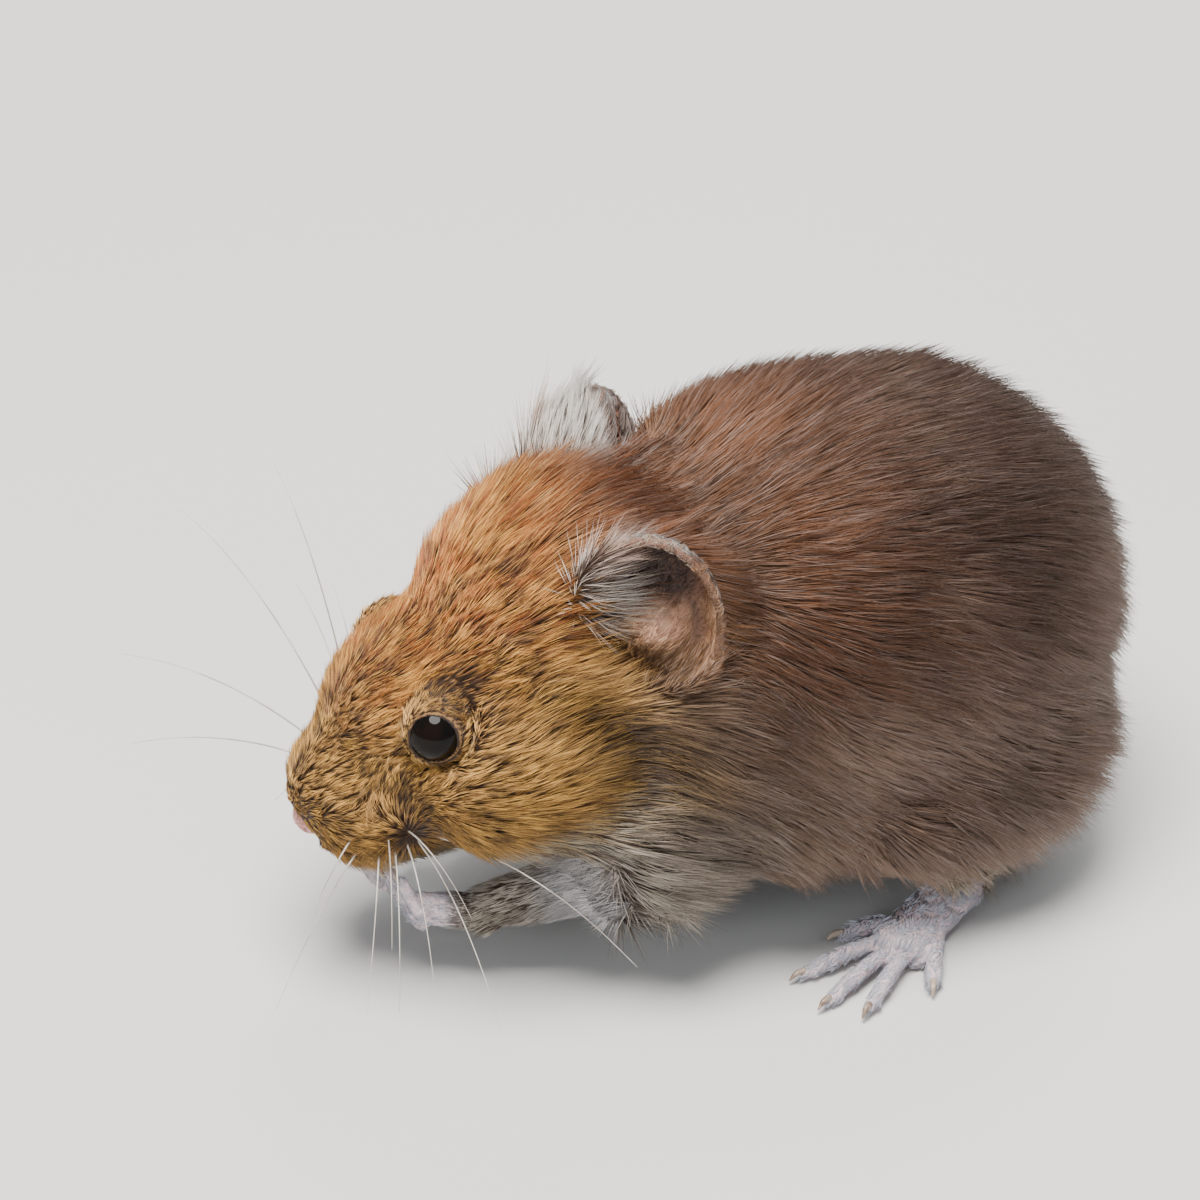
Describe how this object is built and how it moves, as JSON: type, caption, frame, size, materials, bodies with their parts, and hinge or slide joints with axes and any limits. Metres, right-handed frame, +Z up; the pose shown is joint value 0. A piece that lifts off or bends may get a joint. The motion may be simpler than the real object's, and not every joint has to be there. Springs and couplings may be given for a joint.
{
  "type": "bank vole",
  "caption": "Bank vole as a life-size still model, crouched on its hind feet with both forepaws held up at its mouth and its tail laid round its side.",
  "frame": {"origin": "on the floor, under the middle of the outline", "axes": "+Z up, the trunk faces -Y with its left side at +X, the head is turned to the animal's right"},
  "size_m": [0.0398, 0.0558, 0.0325],
  "materials": {
    "brown_fur": "soft dense fur, chestnut above and buff at the cheeks",
    "pale_fur": "soft grey-cream fur of the underside and forearms",
    "bare_skin": "thin skin with short sparse hairs",
    "nose_skin": "moist pink skin",
    "eye": "wet gloss black"
  },
  "bodies": {
    "root": {"head": "brown_fur", "nose": "nose_skin", "eye_left": "eye", "eye_right": "eye", "ear_left": "bare_skin", "ear_right": "bare_skin", "neck": "brown_fur", "chest": "brown_fur", "belly": "brown_fur", "rump": "brown_fur", "upper_arm_left": "brown_fur", "upper_arm_right": "brown_fur", "forearm_left": "pale_fur", "forearm_right": "pale_fur", "forepaw_left": "bare_skin", "forepaw_right": "bare_skin", "thigh_left": "brown_fur", "thigh_right": "brown_fur", "shank_left": "brown_fur", "shank_right": "brown_fur", "hind_foot_left": "bare_skin", "hind_foot_right": "bare_skin", "tail_base": "bare_skin", "tail_middle": "bare_skin", "tail_tip": "bare_skin"}
  },
  "joints": []
}
